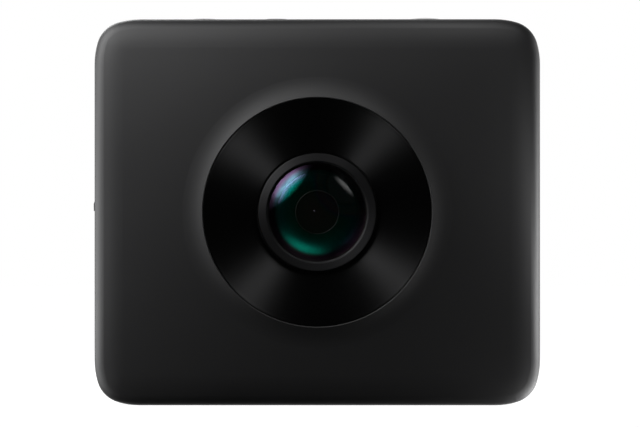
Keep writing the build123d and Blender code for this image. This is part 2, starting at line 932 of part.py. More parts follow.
def button_board():
    """The narrow circuit board under the buttons."""
    half_length = tray_half_length - tray_end_wall - button_board_clearance
    half = tray_slot_level - button_board_clearance
    board = block((-half_length, half_length), (-half, half), (tray_top, button_board_top))
    radius = small_screw_radius + screw_hole_clearance
    hole = cylinder(radius, tray_top - overrun, button_board_top + overrun)
    return board - [Pos(side * rib_centre, 0, 0) * hole for side in (-1, 1)]


def button_switches():
    """The three push switches, each with a bore for its plunger."""
    half = switch_side / 2
    top = button_board_top + switch_height
    body = block((-half, half), (-half, half), (button_board_top, top))
    body -= cylinder(plunger_radius + running_clearance, top - switch_bore_depth, top + overrun)
    return [Pos(x, 0, 0) * body for x in (power_button_x, wifi_button_x, shutter_button_x)]


def microphone():
    """The microphone on the button board, under its hole."""
    half_x, half_y = microphone_length / 2, microphone_width / 2
    top = button_board_top + microphone_height
    body = block((-half_x, half_x), (-half_y, half_y), (button_board_top, top))
    body -= cylinder(microphone_hole_radius, top - microphone_height / 2, body_height)
    return Pos(microphone_x, 0, 0) * body


def status_light():
    """The light and its clear pipe, which ends flush with the top."""
    pipe = cylinder(light_radius - light_clearance, button_board_top, body_height)
    base = cylinder(light_base_radius, button_board_top, button_board_top + light_base_height)
    return Pos(light_x, 0, 0) * (pipe + base)


def main_board():
    """The main circuit board with the two flex connectors soldered to its back."""
    board = block((board_left, board_right), (board_level, board_back), (board_foot, board_top))
    corners = board.edges().filter_by(Axis.Y)
    board = fillet(corners, board_thickness)
    left = board_right - connector_length
    depth = (board_back, flex_level)
    half_z = sensor_height / 2
    for low, high in ((-half_z, half_z), (front_flex_rise, front_flex_top)):
        board += block((left, board_right), depth, (lens_height + low, lens_height + high))
    hole = facing_rear(cylinder(small_screw_radius + screw_hole_clearance, -board_thickness, overrun))
    return board - [Pos(x, board_back, z) * hole for x, z in board_screw_places()]


def processor_shield():
    """The shield can over the processor, open towards the board."""
    left = board_left + shield_edge_gap
    right = board_right - connector_length - shield_connector_gap
    top = card_height() - card_width / 2 + shield_card_lap
    foot = top - shield_height
    wall = flex_thickness
    level = (board_back, board_back + shield_thickness)
    can = block((left, right), level, (foot, top))
    can = fillet(can.edges().filter_by(Axis.Y), shield_thickness / 2)
    room = block(
        (left + wall, right - wall),
        (level[0] - overrun, level[1] - wall),
        (foot + wall, top - wall),
    )
    return can - room


def usb_socket():
    """The USB socket: a folded metal shell, open to the bay, with the tongue inside."""
    half, z = usb_width / 2, usb_height()
    depth = (bay_floor_x, bay_floor_x + usb_length)
    level = (board_level - usb_thickness, board_level)
    body = block(depth, level, (z - half, z + half))
    foot_edges = body.edges().filter_by(Axis.X).group_by(Axis.Y)[0]
    body = chamfer(foot_edges, usb_thickness / 3)
    inside = block(
        (depth[0] - overrun, depth[1] - usb_wall),
        (level[0] + usb_wall, level[1] - usb_wall),
        (z - half + usb_wall, z + half - usb_wall),
    )
    inside = chamfer(inside.edges().filter_by(Axis.X).group_by(Axis.Y)[0], usb_thickness / 3)
    middle = (level[0] + level[1]) / 2
    tongue_half = usb_tongue_width / 2
    tongue = block(
        (depth[0] + usb_wall, depth[1] - usb_wall / 2),
        (middle - usb_tongue_thickness / 2, middle + usb_tongue_thickness / 2),
        (z - tongue_half, z + tongue_half),
    )
    return body - inside + tongue


def card_socket():
    """The memory card socket: a thin metal cover, open to the bay."""
    half, z = card_width / 2, card_height()
    depth = (bay_floor_x, bay_floor_x + card_length)
    level = (board_level - card_thickness, board_level)
    body = block(depth, level, (z - half, z + half))
    return body - block(
        (depth[0] - overrun, depth[1] - card_wall),
        (level[0] + card_wall, level[1] - card_wall),
        (z - half + card_wall, z + half - card_wall),
    )


def battery():
    """The battery pouch beside the lenses, with rounded long edges."""
    back = web_level - tape_thickness
    cell = block((battery_left, battery_right), (-back, back), (battery_foot, battery_top))
    return fillet(cell.edges().filter_by(Axis.Z), battery_corner_radius)


def battery_tape():
    """The adhesive strip that holds the battery to the rear shell's web."""
    left = battery_left + battery_corner_radius
    half = tape_height / 2
    right = min(left + tape_width, pocket_radius)
    level = (web_level - tape_thickness, web_level)
    return block((left, right), level, (lens_height - half, lens_height + half))


def battery_lead():
    """The battery's flat lead: up from the cell, across behind the ribs and down to the board's plug."""
    start = battery_left + lead_width
    end = plug_right - connector_length / 2
    top = battery_top + lead_rise
    plug_top = board_top - board_thickness
    points = ((start, battery_top), (start, top), (end, top), (end, plug_top))
    route = FilletPolyline(*points, radius=lead_bend_radius)
    ribbon = extrude(Plane.XZ * trace(route, lead_thickness), lead_width / 2, both=True)
    half = connector_length / 2
    plug_level = (board_level - lead_plug_thickness, board_level)
    plug = block((end - half, end + half), plug_level, (plug_top - lead_plug_height, plug_top))
    room = block((end - half, start + half), (-lead_width, board_level), (0, body_height))
    return (ribbon & room) + plug


def speaker_place():
    """Where the speaker is along the bottom: midway between the left rib and the left corner."""
    return -(rib_outer + half_width - corner_reach()) / 2


def speaker():
    """The small speaker box on the bottom wall."""
    half_x, half_y = speaker_length / 2, speaker_width / 2
    body = block((-half_x, half_x), (-half_y, half_y), (band_wall, band_wall + speaker_height))
    body = fillet(body.edges().filter_by(Axis.Z), speaker_height / 2)
    return Pos(speaker_place(), 0, 0) * body


def wifi_antenna():
    """The thin antenna stuck to the inside of the front shell, above the lens."""
    right = half_width - antenna_side_gap
    top = body_height - antenna_edge_gap
    level = (-ceiling_level, -ceiling_level + antenna_thickness)
    return block((right - antenna_length, right), level, (top - antenna_height, top))


def tripod_socket():
    """The metal insert for a tripod screw: a blind threaded barrel under a screwed plate."""
    half_x, half_y = socket_plate_length / 2, socket_plate_width / 2
    plate_top = socket_boss_height + socket_plate_thickness
    plate = block((-half_x, half_x), (-half_y, half_y), (socket_boss_height, plate_top))
    plate = fillet(plate.edges().filter_by(Axis.Z), half_y / 2)
    barrel = cylinder(socket_radius, 0, socket_boss_height)
    bore = cylinder(socket_bore_radius, -overrun, socket_bore_length)
    body = plate + barrel - bore
    hole = cylinder(small_screw_radius + screw_hole_clearance, 0, plate_top + overrun)
    return body - [Pos(side * socket_screw_x, 0, 0) * hole for side in (-1, 1)]


def tripod_screws():
    """The two screws that hold the tripod socket down on its boss."""
    plate_top = socket_boss_height + socket_plate_thickness
    screw = small_screw(socket_plate_thickness + socket_screw_length)
    return [Pos(side * socket_screw_x, 0, plate_top) * screw for side in (-1, 1)]


def lens_pieces():
    """The pieces that both sides have, drawn once in the lens frame."""
    return {
        "shell": shell(),
        "dish": dish(),
        "lens_ring": lens_ring(),
        "dome": dome(),
        "dome_seal": dome_seal(),
        "lens_barrel": lens_barrel(),
        "second_element": second_element(),
        "prism": prism(),
        "relay_lens": relay_lens(),
        "sensor": sensor(),
        "shell_gasket": shell_gasket(),
        "shell_screws": shell_screws(),
    }


def button_pieces(name, x, cap):
    """A button with its plunger, at its place on top."""
    place = on_top * Pos(x, 0, 0)
    return {name + "_button": place * cap, name + "_plunger": place * switch_plunger()}


def all_pieces():
    """Every node by name, in the camera's own frame."""
    nodes = {}
    for name, piece in lens_pieces().items():
        for side, frame in (("front", front_frame), ("rear", rear_frame)):
            group = piece if isinstance(piece, list) else [piece]
            nodes[side + "_" + name] = [frame * one for one in group]
    nodes["mid_frame"] = mid_frame()
    nodes["lens_carrier"] = lens_carrier()
    nodes["lens_carrier_screws"] = lens_carrier_screws()
    nodes["front_sensor_flex"] = front_sensor_flex()
    nodes["rear_sensor_flex"] = rear_sensor_flex()
    nodes["main_board"] = main_board()
    nodes["processor_shield"] = processor_shield()
    nodes["board_screws"] = board_screws()
    nodes["usb_socket"] = usb_socket()
    nodes["card_socket"] = card_socket()
    nodes["button_board"] = button_board()
    nodes["button_switches"] = button_switches()
    nodes["microphone"] = microphone()
    nodes["status_light"] = status_light()
    nodes["battery"] = battery()
    nodes["battery_tape"] = battery_tape()
    nodes["battery_lead"] = battery_lead()
    nodes["speaker"] = speaker()
    nodes["wifi_antenna"] = wifi_antenna()
    nodes["tripod_socket"] = tripod_socket()
    nodes["tripod_screws"] = tripod_screws()
    nodes["door_hinge_pin"] = door_hinge_pin()
    nodes["side_door"] = side_door()
    nodes["door_gasket"] = door_gasket()
    small_cap = button_cap(small_button_radius, small_button_rise, small_button_edge)
    shutter_cap = domed_button_cap(shutter_button_radius, shutter_button_rise, shutter_edge_height)
    nodes.update(button_pieces("power", power_button_x, small_cap))
    nodes.update(button_pieces("wifi", wifi_button_x, small_cap))
    nodes.update(button_pieces("shutter", shutter_button_x, shutter_cap))
    return nodes


def write_pieces():
    """Writes one STEP file for each node."""
    os.makedirs("parts", exist_ok=True)
    for name, piece in all_pieces().items():
        group = piece if isinstance(piece, list) else [piece]
        solids = [solid for one in group for solid in one.solids()]
        shape = solids[0] if len(solids) == 1 else Compound(children=solids)
        export_step(shape, "parts/" + name + ".step")


write_pieces()
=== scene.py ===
from math import asin, atan2, cos, degrees, pi, radians, sin, sqrt

import bmesh
import bpy
from mathutils import Matrix, Vector


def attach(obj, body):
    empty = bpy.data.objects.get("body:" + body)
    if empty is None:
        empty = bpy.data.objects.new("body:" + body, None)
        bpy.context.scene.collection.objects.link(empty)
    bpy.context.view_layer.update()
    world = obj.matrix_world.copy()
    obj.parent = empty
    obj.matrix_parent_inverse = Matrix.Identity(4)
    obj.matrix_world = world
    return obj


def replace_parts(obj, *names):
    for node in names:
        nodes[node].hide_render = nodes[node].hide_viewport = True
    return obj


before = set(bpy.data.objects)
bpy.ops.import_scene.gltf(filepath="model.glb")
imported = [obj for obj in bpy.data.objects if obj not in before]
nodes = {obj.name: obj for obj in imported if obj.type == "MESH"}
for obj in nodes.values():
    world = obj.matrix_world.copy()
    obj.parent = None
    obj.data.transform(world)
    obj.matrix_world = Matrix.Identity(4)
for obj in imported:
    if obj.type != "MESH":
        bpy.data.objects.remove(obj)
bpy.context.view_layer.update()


# Casing: two half shells and the band between them, moulded in glass-filled plastic and sprayed with a
# soft matt black paint that leaves a very fine grain. Four screws under each dish hold a shell to posts
# in the band, with a flat rubber seal between.
mm = 0.001


def add_node(tree, kind, inputs=None, **settings):
    """Puts a node in a tree. An input is a value, or the socket that feeds it."""
    node = tree.nodes.new("ShaderNode" + kind)
    for key, value in settings.items():
        setattr(node, key, value)
    for key, value in (inputs or {}).items():
        if isinstance(value, bpy.types.NodeSocket):
            tree.links.new(value, node.inputs[key])
        else:
            node.inputs[key].default_value = value
    return node


def calc(tree, operation, *values):
    """The outcome of a sum on plain values or sockets."""
    return add_node(tree, "Math", dict(enumerate(values)), operation=operation).outputs[0]


def open_group(name, inputs, outputs):
    """An empty shader group: its tree, and the nodes that bring its inputs and take its outputs."""
    tree = bpy.data.node_groups.new(name, "ShaderNodeTree")
    for socket, (kind, value) in inputs.items():
        made = tree.interface.new_socket(name=socket, in_out="INPUT", socket_type="NodeSocket" + kind)
        if value is not None:
            made.default_value = value
    for socket, kind in outputs.items():
        tree.interface.new_socket(name=socket, in_out="OUTPUT", socket_type="NodeSocket" + kind)
    return tree, tree.nodes.new("NodeGroupInput"), tree.nodes.new("NodeGroupOutput")


def toned(tree, color, share):
    """A colour made lighter or darker by a share."""
    return add_node(tree, "VectorMath", {0: color, "Scale": share}, operation="SCALE").outputs[0]


def grain_group():
    """Sprayed or moulded grain: a tone and a roughness that drift a little, and the grain's height."""
    tree, given, out = open_group(
        "fine_grain",
        {
            "Color": ("Color", None), "Grain size": ("Float", 0.00012), "Drift": ("Float", 0.08),
            "Roughness": ("Float", 0.5), "Roughness drift": ("Float", 0.05),
        },
        {"Color": "Color", "Roughness": "Float", "Height": "Float"},
    )
    clouds_per_metre = 90.0
    place = add_node(tree, "TexCoord").outputs["Object"]
    scale = calc(tree, "DIVIDE", 1.0, given.outputs["Grain size"])
    grain = add_node(tree, "TexNoise", {"Vector": place, "Scale": scale, "Detail": 3.0, "Roughness": 0.6})
    cloud = add_node(tree, "TexNoise", {"Vector": place, "Scale": clouds_per_metre, "Detail": 2.0})
    both = calc(tree, "ADD", grain.outputs["Fac"], cloud.outputs["Fac"])
    centred = calc(tree, "ADD", both, -1.0)
    tone = calc(tree, "MULTIPLY_ADD", centred, given.outputs["Drift"], 1.0)
    rough = calc(tree, "MULTIPLY_ADD", centred, given.outputs["Roughness drift"], given.outputs["Roughness"])
    tree.links.new(toned(tree, given.outputs["Color"], tone), out.inputs["Color"])
    tree.links.new(rough, out.inputs["Roughness"])
    tree.links.new(grain.outputs["Fac"], out.inputs["Height"])
    return tree


fine_grain = grain_group()


def start_material(name, **values):
    """A new material with plain values on its Principled shader: its tree and that shader."""
    material = bpy.data.materials.new(name)
    material.use_nodes = True
    shader = material.node_tree.nodes["Principled BSDF"]
    for key, value in values.items():
        shader.inputs[key.replace("_", " ")].default_value = value
    return material, material.node_tree, shader


def link_finish(tree, shader, finish, depth):
    """Feeds a finish group's tone, roughness and height into the shader. The height spans a depth."""
    tree.links.new(finish.outputs["Color"], shader.inputs["Base Color"])
    tree.links.new(finish.outputs["Roughness"], shader.inputs["Roughness"])
    bump = add_node(tree, "Bump", {"Height": finish.outputs["Height"], "Distance": depth, "Strength": 1.0})
    tree.links.new(bump.outputs["Normal"], shader.inputs["Normal"])


def grained(name, color, roughness, size=0.12 * mm, depth=0.002 * mm, drift=0.08, **values):
    """A painted or moulded finish with fine grain."""
    material, tree, shader = start_material(name, **values)
    inputs = {"Color": (*color, 1), "Grain size": size, "Drift": drift, "Roughness": roughness}
    link_finish(tree, shader, add_node(tree, "Group", inputs, node_tree=fine_grain), depth)
    return material


def dress(material, *names):
    """Gives CAD nodes a finish."""
    for name in names:
        mesh = nodes[name].data
        mesh.materials.clear()
        mesh.materials.append(material)


casing_paint = grained("matt_black_paint", (0.0095, 0.0095, 0.01), 0.53, Specular_IOR_Level=0.375)
dress(casing_paint, "front_shell", "rear_shell", "mid_frame")
rubber = grained("soft_rubber", (0.02, 0.02, 0.02), 0.75, size=0.2 * mm, depth=0.006 * mm)
dress(rubber, "front_shell_gasket", "rear_shell_gasket")


# Side door: a plate of the casing's plastic on a steel pin, with a nub for a fingernail at its foot.
# A frame of soft rubber on its back lies round both sockets.
dress(casing_paint, "side_door")
dress(rubber, "door_gasket")


# Buttons: the two small ones are painted as the casing is, and the shutter's cap is polished. Each sits on
# a moulded plunger over a switch on the button board.
cap_paint = grained("button_paint", (0.022, 0.022, 0.023), 0.42, size=0.1 * mm)
dress(cap_paint, "power_button", "wifi_button")
cap_gloss = grained(
    "shutter_gloss", (0.012, 0.012, 0.013), 0.16, depth=0.0002 * mm, drift=0.03, Coat_Weight=0.6
)
dress(cap_gloss, "shutter_button")
switch_plastic = grained("switch_plastic", (0.05, 0.05, 0.052), 0.4)
dress(switch_plastic, "power_plunger", "wifi_plunger", "shutter_plunger", "button_switches")


# Status light and microphone: a clear moulded pipe, pressed into the top wall, carries the lamp's light
# out. The microphone is a can folded from plated sheet, under a small hole between the small buttons.
light_pipe = grained(
    "clear_pipe", (0.55, 0.56, 0.58), 0.2, depth=0.0005 * mm, IOR=1.49, Transmission_Weight=0.6
)
dress(light_pipe, "status_light")
plated_sheet = grained(
    "plated_sheet", (0.55, 0.55, 0.56), 0.3, size=0.3 * mm, depth=0.001 * mm, Metallic=1.0
)
dress(plated_sheet, "microphone")


# Dish round each lens: a disc pressed from aluminium sheet, spun in fine rings and dyed black.
# The rings stretch every light into a streak along the radius. It is bonded in the shell's pocket.
lens_height = 33.8 * mm
lens_sides = {"front": -1, "rear": 1}


def arc(centre, radius, start, end, steps):
    """Points of an arc in the (radius, level) plane. Angles are in degrees from the radius direction."""
    turns = [radians(start + (end - start) * i / steps) for i in range(steps + 1)]
    return [(centre[0] + radius * cos(turn), centre[1] + radius * sin(turn)) for turn in turns]


def run(start, end, steps):
    """Points of a straight run in the (radius, level) plane, after its start."""
    return [tuple(a + (b - a) * i / steps for a, b in zip(start, end)) for i in range(1, steps + 1)]


def soften(shape, sharp):
    """Shades a shape smooth, but for edges that turn by more than an angle."""
    for face in shape.faces:
        face.smooth = True
    for edge in shape.edges:
        edge.smooth = len(edge.link_faces) == 2 and edge.calc_face_angle() <= radians(sharp)


def as_object(name, shape):
    """Turns a bmesh into an object in the scene."""
    mesh = bpy.data.meshes.new(name)
    shape.to_mesh(mesh)
    shape.free()
    made = bpy.data.objects.new(name, mesh)
    bpy.context.scene.collection.objects.link(made)
    return made


def housed(piece, material):
    """Gives a piece its finish and its slot, and lets it ride on the housing."""
    piece.data.materials.append(material)
    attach(piece, "housing")
    return piece


def turned(name, profile, side, material, sides=192, sharp=25):
    """A piece turned round a lens axis from a closed outline of radii and levels in mm."""
    shape = bmesh.new()
    rings = []
    turns = [2 * pi * i / sides for i in range(sides)]
    for radius, level in profile:
        reach, y = radius * mm, side * level * mm
        on_axis = radius < 1e-6
        places = [(reach * cos(turn), y, lens_height + reach * sin(turn)) for turn in turns]
        rings.append([shape.verts.new(place) for place in ([(0, y, lens_height)] if on_axis else places)])
    for first, second in zip(rings, rings[1:] + rings[:1]):
        if len(first) == len(second) == 1:
            continue
        for i in range(sides):
            a, b = i % len(first), (i + 1) % sides % len(first)
            c, d = (i + 1) % sides % len(second), i % len(second)
            shape.faces.new(list(dict.fromkeys((first[a], first[b], second[c], second[d]))))
    bmesh.ops.recalc_face_normals(shape, faces=shape.faces)
    soften(shape, sharp)
    return housed(as_object(name, shape), material)


def turned_pair(kind, profile, material, node=None):
    """The same turned piece for both lenses, in place of its plain CAD node where it has one."""
    pieces = []
    for word, side in lens_sides.items():
        piece = turned(f"{word}_{kind}", profile, side, material)
        if node:
            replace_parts(piece, f"{word}_{node}")
        pieces.append(piece)
    return pieces


def spun_group():
    """Fine rings round a lens axis: how they tint, how they roughen and how high they are."""
    tree, given, out = open_group(
        "spun_rings",
        {
            "Color": ("Color", None), "Pitch": ("Float", 0.00025), "Drift": ("Float", 0.2),
            "Roughness": ("Float", 0.4),
        },
        {"Color": "Color", "Roughness": "Float", "Height": "Float"},
    )
    roughness_drift = 0.1
    parts = add_node(tree, "SeparateXYZ", {"Vector": add_node(tree, "TexCoord").outputs["Object"]})
    up = calc(tree, "ADD", parts.outputs["Z"], -lens_height)
    flat = add_node(tree, "CombineXYZ", {"X": parts.outputs["X"], "Y": up}).outputs[0]
    radius = add_node(tree, "VectorMath", {0: flat}, operation="LENGTH").outputs["Value"]
    count = calc(tree, "DIVIDE", radius, given.outputs["Pitch"])
    ring = add_node(
        tree, "TexNoise", {"W": count, "Scale": 1.0, "Detail": 4.0, "Roughness": 0.8},
        noise_dimensions="1D",
    )
    centred = calc(tree, "ADD", ring.outputs["Fac"], -0.5)
    tone = calc(tree, "MULTIPLY_ADD", centred, given.outputs["Drift"], 1.0)
    rough = calc(tree, "MULTIPLY_ADD", centred, roughness_drift, given.outputs["Roughness"])
    tree.links.new(toned(tree, given.outputs["Color"], tone), out.inputs["Color"])
    tree.links.new(rough, out.inputs["Roughness"])
    tree.links.new(ring.outputs["Fac"], out.inputs["Height"])
    return tree


spun_rings = spun_group()


def spun(name, color, roughness, anisotropy, pitch=0.25 * mm, depth=0.0004 * mm, drift=0.3, **values):
    """A turned metal finish whose grooves run round the lens axis."""
    material, tree, shader = start_material(name, Anisotropic=anisotropy, **values)
    inputs = {"Color": (*color, 1), "Pitch": pitch, "Drift": drift, "Roughness": roughness}
    link_finish(tree, shader, add_node(tree, "Group", inputs, node_tree=spun_rings), depth)
    around = add_node(tree, "Tangent", direction_type="RADIAL", axis="Y")
    tree.links.new(around.outputs[0], shader.inputs["Tangent"])
    return material


dish_metal = spun(
    "dyed_spun_aluminium", (0.06, 0.06, 0.061), 0.533, 1.0, Metallic=1.0, Anisotropic_Rotation=0.25
)
dish_bore = [(10.65, 5.7), (10.65, 6.26), (10.7, 6.31)]
dish_slope = run(dish_bore[-1], (19.4, 7.89), 24)
dish_rim = [(19.5, 7.93), (19.62, 7.98), (19.78, 8.0), (19.86, 7.98), (19.9, 7.92)]
dish_back = [(19.9, 7.4), (19.3, 7.4), (11.4, 5.7)]
turned_pair("dish_spun", dish_bore + dish_slope + dish_rim + dish_back, dish_metal, "dish")


# Lens ring: turned in aluminium with a slightly crowned face, blasted fine and dyed black, and bevelled at
# its mouth. It screws down on the outer element's flange.
ring_metal = spun(
    "dyed_ring_aluminium", (0.085, 0.085, 0.088), 0.6, 0.65, pitch=0.12 * mm,
    Metallic=1.0, Anisotropic_Rotation=0.25,
)
ring_bevel = [(8.69, 6.7), (8.69, 6.98), (8.72, 7.03), (8.93, 7.27), (8.98, 7.3), (9.04, 7.3)]
ring_face = run(ring_bevel[-1], (10.18, 7.14), 6)
ring_skirt = [(10.25, 7.11), (10.3, 7.04), (10.3, 5.1), (9.45, 5.1), (9.45, 6.7)]
turned_pair("lens_ring_turned", ring_bevel + ring_face + ring_skirt, ring_metal, "lens_ring")


# Outer element: a deep meniscus of optical glass, polished, under a thin interference coating that has
# worn off round one place. Its flange lies on a rubber seal in the barrel, clamped by the lens ring.
def ramp(tree, value, low, high, foot=0.0, top=1.0, eased=False):
    """A value mapped from one range to another, straight or eased at both ends."""
    inputs = {"Value": value, "From Min": low, "From Max": high, "To Min": foot, "To Max": top}
    kind = "SMOOTHSTEP" if eased else "LINEAR"
    return add_node(tree, "MapRange", inputs, interpolation_type=kind).outputs[0]


dress(rubber, "front_dome_seal", "rear_dome_seal")
outer_glass, tree, shader = start_material("coated_glass", Transmission_Weight=1.0, IOR=1.5, Roughness=0.0)
shader.inputs["Base Color"].default_value = (1, 1, 1, 1)
full_film_nm = 631
worn_place = (4.9 * mm, 0, lens_height + 4.7 * mm)
worn_radius, film_radius = 2.5 * mm, 6.0 * mm
spot = add_node(tree, "TexCoord").outputs["Object"]
flat = add_node(tree, "VectorMath", {0: spot, 1: (1, 0, 1)}, operation="MULTIPLY").outputs[0]
off = add_node(tree, "VectorMath", {0: flat, 1: worn_place}, operation="DISTANCE").outputs["Value"]
film = ramp(tree, off, worn_radius, film_radius, 0, full_film_nm, eased=True)
tree.links.new(film, shader.inputs["Thin Film Thickness"])
dome_radius, dome_apex, dome_wall = 9.7, 12.0, 1.0
flange_top, flange_foot = 6.7, 5.8
dome_centre = dome_apex - dome_radius
hollow_radius = dome_radius - dome_wall
waist_turn = degrees(asin((flange_top - dome_centre) / dome_radius))
hollow_turn = degrees(asin((flange_foot - dome_centre) / hollow_radius))
outer_profile = (
    arc((0, dome_centre), dome_radius, 90, waist_turn, 48)
    + [(9.3, flange_top), (9.35, 6.65), (9.35, 5.85), (9.3, flange_foot)]
    + arc((0, dome_centre), hollow_radius, hollow_turn, 90, 40)
)
for piece in turned_pair("outer_element", outer_profile, outer_glass, "dome"):
    piece.visible_shadow = False


# Barrel: moulded black, with a bowl under the outer element that is lined with black glass. The lining's
# coat is green, black at the rim, and at the rim's upper left it carries a painted highlight, blue to
# violet.
# The barrel holds the seal and the second element.
def blend(tree, share, first, second):
    """A colour between two others."""
    inputs = {0: share, 6: first, 7: second}
    return add_node(tree, "Mix", inputs, data_type="RGBA").outputs[2]


barrel_black = grained("barrel_black", (0.004, 0.004, 0.004), 0.6, Specular_IOR_Level=0.2)
dress(barrel_black, "front_lens_barrel", "rear_lens_barrel")
bowl_coat_and_painted_highlight, tree, shader = start_material("green_coating_and_painted_highlight", Metallic=1.0, Roughness=0.22)
bowl_green, rim_black = (0.0006, 0.05, 0.036, 1), (0.002, 0.0015, 0.002, 1)
# Painted highlight: the rim's upper left is tinted blue to violet, where the outer element's highlight lies.
painted_highlight_blue, painted_highlight_violet = (0.19, 0.42, 0.6, 1), (0.19, 0.1, 0.22, 1)
to_painted_highlight = (-0.73, 0, 0.68)
spot = add_node(tree, "TexCoord").outputs["Object"]
off = add_node(tree, "VectorMath", {0: spot, 1: (0, 0, -lens_height)}, operation="ADD").outputs[0]
flat = add_node(tree, "VectorMath", {0: off, 1: (1, 0, 1)}, operation="MULTIPLY").outputs[0]
radius = add_node(tree, "VectorMath", {0: flat}, operation="LENGTH").outputs["Value"]
along = add_node(tree, "VectorMath", {0: flat, 1: to_painted_highlight}, operation="DOT_PRODUCT").outputs["Value"]
plain = blend(tree, ramp(tree, radius, 6.9 * mm, 7.4 * mm), bowl_green, rim_black)
painted_highlight_tint = blend(tree, ramp(tree, radius, 7.2 * mm, 7.7 * mm), painted_highlight_blue, painted_highlight_violet)
# The painted highlight's share: strongest near the rim, towards the upper left.
near_painted_highlight, near_rim = ramp(tree, along, 5.8 * mm, 7.1 * mm), ramp(tree, radius, 6.5 * mm, 7.0 * mm)
corner = calc(tree, "MULTIPLY", near_painted_highlight, near_rim)
tree.links.new(blend(tree, corner, plain, painted_highlight_tint), shader.inputs["Base Color"])
bowl_rim, bowl_foot, bowl_radius, lining = (7.93, 5.79), (3.87, 3.67), 6.4, 0.06


def bowl_arc(steps):
    """The bowl's section from its rim to its foot: a hollow arc."""
    width, rise = bowl_rim[0] - bowl_foot[0], bowl_rim[1] - bowl_foot[1]
    chord = sqrt(width**2 + rise**2)
    depth = sqrt(bowl_radius**2 - chord**2 / 4)
    centre = (
        (bowl_rim[0] + bowl_foot[0]) / 2 - depth * rise / chord,
        (bowl_rim[1] + bowl_foot[1]) / 2 + depth * width / chord,
    )
    ends = [degrees(atan2(point[1] - centre[1], point[0] - centre[0])) for point in (bowl_rim, bowl_foot)]
    return arc(centre, bowl_radius, *ends, steps)


bowl_back = [(radius, level - lining) for radius, level in bowl_arc(14)[-2:0:-1]]
turned_pair("bowl_lining", bowl_arc(28) + [(3.95, 3.6)] + bowl_back, bowl_coat_and_painted_highlight)


# Second element: a low domed lens of polished glass with a violet coating, opaque and near black as painted
# shade for the dark lens behind it. A thin blackened ring holds it in the barrel.
# The near black base colour is painted shade, in place of the dark inside of the lens.
second_glass = grained(
    "violet_coated_glass", (0.0015, 0.0015, 0.002), 0.04, depth=0.0, drift=0.03, IOR=1.6,
    Specular_Tint=(0.8, 0.75, 1, 1),
)
cap_foot, cap_rise, cap_edge = 3.8, 0.9, 3.4
cap_radius = (cap_foot**2 + cap_rise**2) / (2 * cap_rise)
cap_turn = degrees(asin((cap_radius - cap_rise) / cap_radius))
cap_arc = arc((0, cap_edge + cap_rise - cap_radius), cap_radius, 90, cap_turn, 24)
cap_back = [(4.28, cap_edge), (4.3, 3.38), (4.3, 2.95), (4.25, 2.9), (0, 2.9)]
ring_steel = grained("blackened_ring", (0.03, 0.03, 0.031), 0.45, depth=0.0002 * mm, Metallic=1.0)
ring_middle, ring_half, ring_foot = (3.76, 3.62), 0.1, 3.46
second_ring = arc(ring_middle, ring_half, 0, 180, 10) + [(3.66, ring_foot), (3.86, ring_foot)]
for word, side in lens_sides.items():
    piece = turned(f"{word}_second_glass", cap_arc + cap_back, side, second_glass)
    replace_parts(piece, f"{word}_second_element")
    turned(f"{word}_second_ring", second_ring, side, ring_steel)


# Optical block: a black moulding, screwed between the frame's ribs, with prisms and relay lenses of
# polished glass. The image sensors sit on its sides, each on a flex of gold-coloured film.
dress(barrel_black, "lens_carrier")
block_glass = grained(
    "polished_glass", (0.97, 0.98, 0.98), 0.02, depth=0.0, drift=0.02, IOR=1.7, Transmission_Weight=1.0
)
dress(block_glass, "front_prism", "rear_prism", "front_relay_lens", "rear_relay_lens")
sensor_ceramic = grained("sensor_ceramic", (0.03, 0.03, 0.035), 0.35)
dress(sensor_ceramic, "front_sensor", "rear_sensor")
flex_film = grained("flex_film", (0.26, 0.12, 0.03), 0.35, size=0.5 * mm)
dress(flex_film, "front_sensor_flex", "rear_sensor_flex")


# Boards and sockets: glass-fibre boards with copper tracks under a dark solder mask, and folded plated
# cans. The sockets' contacts are gold-plated strips: flat ones on the tongue, and bowed springs for a card.
def boxes(name, corners, material):
    """One piece made of small boxes, each given by its low and high corner in mm."""
    shape = bmesh.new()
    for low, high in corners:
        size = Matrix.Diagonal([(b - a) * mm for a, b in zip(low, high)]).to_4x4()
        middle = Matrix.Translation([(a + b) / 2 * mm for a, b in zip(low, high)])
        bmesh.ops.create_cube(shape, size=1, matrix=middle @ size)
    return housed(as_object(name, shape), material)


def tracked(name, mask, track, pad):
    """A board's face: tracks that show through the solder mask, and bare round pads."""
    tracks_per_metre, pads_per_metre = 450, 900
    material, tree, shader = start_material(name, Roughness=0.35)
    parts = add_node(tree, "SeparateXYZ", {"Vector": add_node(tree, "TexCoord").outputs["Object"]})
    face = add_node(tree, "CombineXYZ", {"X": parts.outputs["X"], "Y": parts.outputs["Z"]}).outputs[0]
    brick = add_node(tree, "TexBrick", {"Vector": face, "Scale": tracks_per_metre, "Mortar Size": 0.06})
    spots = add_node(tree, "TexVoronoi", {"Vector": face, "Scale": pads_per_metre}).outputs["Distance"]
    round_pad = ramp(tree, spots, 0.2, 0.16)
    cover = blend(tree, brick.outputs["Fac"], (*mask, 1), (*track, 1))
    tree.links.new(blend(tree, round_pad, cover, (*pad, 1)), shader.inputs["Base Color"])
    tree.links.new(round_pad, shader.inputs["Metallic"])
    return material


